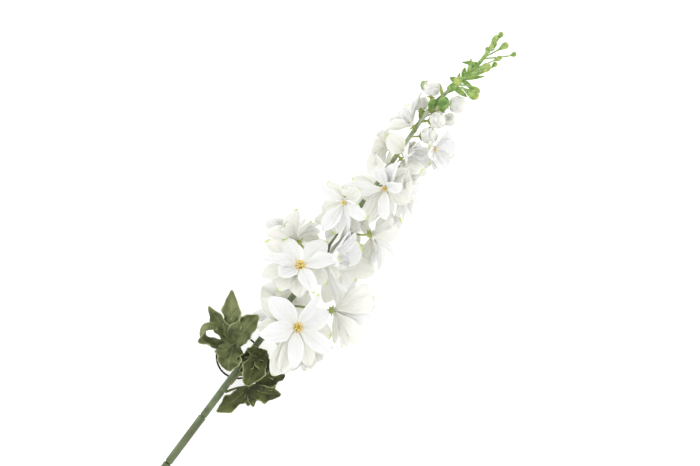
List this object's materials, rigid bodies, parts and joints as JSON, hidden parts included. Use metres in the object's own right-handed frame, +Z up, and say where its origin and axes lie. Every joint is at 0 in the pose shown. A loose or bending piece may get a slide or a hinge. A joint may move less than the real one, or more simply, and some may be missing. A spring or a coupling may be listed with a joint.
{
  "type": "delphinium spray",
  "caption": "White delphinium spray with open two-whorl flowers, round buds, a green bud tip and toothed leaves on a jointed green stem, lying down; a cut flower for a vase or a wreath",
  "frame": {"origin": "the middle of the bounding box, on the table surface that the spray lies on", "axes": "+X runs along the stem from its cut end to the tip of the spray, +Y is to the left of that seen from above, +Z is up, away from the table"},
  "size_m": [0.5958, 0.1277, 0.1009],
  "materials": {
    "stem_plastic": "moulded green plastic sleeve, satin",
    "stalk_plastic": "moulded green plastic, satin",
    "bud_plastic": "moulded light yellow-green plastic, satin",
    "petal_fabric": "stiffened white woven fabric, matte",
    "stamen_foam": "flocked yellow stamen button, matte",
    "leaf_fabric": "stiffened olive green fabric with lighter edges, matte",
    "wire_steel": "drawn steel wire",
    "loop_cord": "thin black plastic cord"
  },
  "bodies": {
    "root": {"stem_wire": "wire_steel", "stem_section_1": "stem_plastic", "stem_section_2": "stem_plastic", "stem_section_3": "stem_plastic", "stalk": "stalk_plastic", "tip_spray": "bud_plastic", "stamens_01": "stamen_foam", "stamens_02": "stamen_foam", "stamens_03": "stamen_foam", "stamens_04": "stamen_foam", "stamens_05": "stamen_foam", "stamens_06": "stamen_foam", "stamens_07": "stamen_foam", "stamens_08": "stamen_foam", "stamens_09": "stamen_foam", "stamens_10": "stamen_foam", "stamens_11": "stamen_foam", "stamens_12": "stamen_foam", "stamens_13": "stamen_foam", "stamens_14": "stamen_foam", "stamens_15": "stamen_foam", "stamens_16": "stamen_foam", "stamens_17": "stamen_foam", "stamens_18": "stamen_foam", "stamens_19": "stamen_foam", "stamens_20": "stamen_foam", "bud_1": "petal_fabric", "bud_2": "petal_fabric", "bud_3": "petal_fabric", "bud_4": "petal_fabric", "bud_5": "petal_fabric", "bud_6": "petal_fabric", "bud_7": "petal_fabric", "bloom_01": "petal_fabric", "bloom_02": "petal_fabric", "bloom_03": "petal_fabric", "bloom_04": "petal_fabric", "bloom_05": "petal_fabric", "bloom_06": "petal_fabric", "bloom_07": "petal_fabric", "bloom_08": "petal_fabric", "bloom_09": "petal_fabric", "bloom_10": "petal_fabric", "bloom_11": "petal_fabric", "bloom_12": "petal_fabric", "bloom_13": "petal_fabric", "bloom_14": "petal_fabric", "bloom_15": "petal_fabric", "bloom_16": "petal_fabric", "bloom_17": "petal_fabric", "bloom_18": "petal_fabric", "bloom_19": "petal_fabric", "bloom_20": "petal_fabric", "leaf_upper": "leaf_fabric", "leaf_front": "leaf_fabric", "leaf_lower": "leaf_fabric", "leaf_back": "leaf_fabric", "tag_loop": "loop_cord"}
  },
  "joints": []
}
